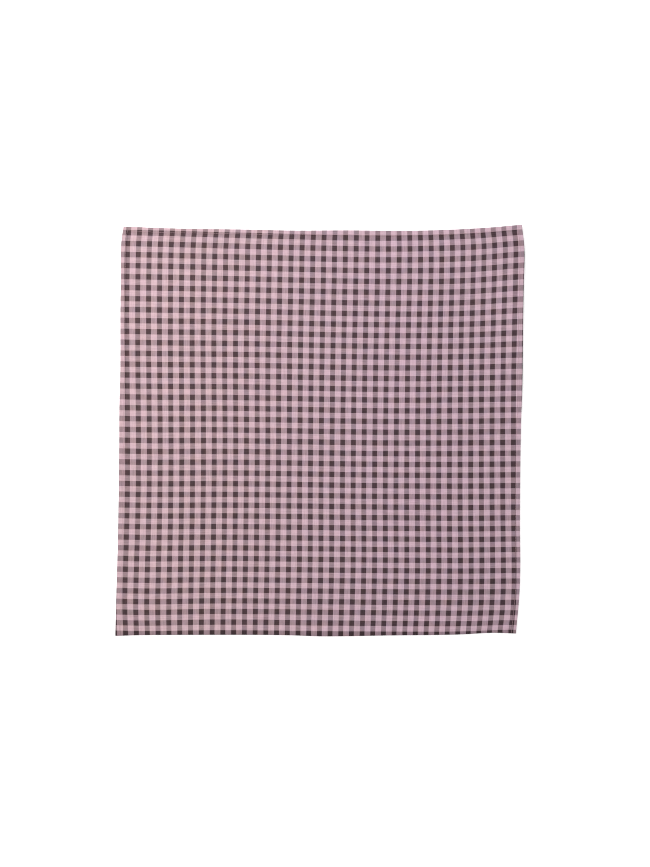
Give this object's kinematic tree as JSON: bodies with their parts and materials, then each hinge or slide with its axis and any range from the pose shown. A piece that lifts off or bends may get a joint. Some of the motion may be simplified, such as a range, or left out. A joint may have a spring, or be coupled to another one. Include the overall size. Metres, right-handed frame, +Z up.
{
  "type": "folded checked scarf",
  "caption": "Light checked cotton scarf with sewn hems, folded across its middle and lying flat with its layers a little apart.",
  "frame": {"origin": "middle of the underside, on the surface that the folded scarf lies on", "axes": "+Z up through the layers, +Y away from the fold towards the free hem of the upper half, +X to the right seen from above with the fold nearest"},
  "size_m": [0.666, 0.67, 0.006],
  "materials": {
    "checked_cotton": "matte plain-weave cotton in dark grey-brown and dusty pink checks",
    "sewing_thread": "matte mauve-pink sewing thread"
  },
  "bodies": {
    "root": {"scarf": "checked_cotton"}
  },
  "joints": []
}
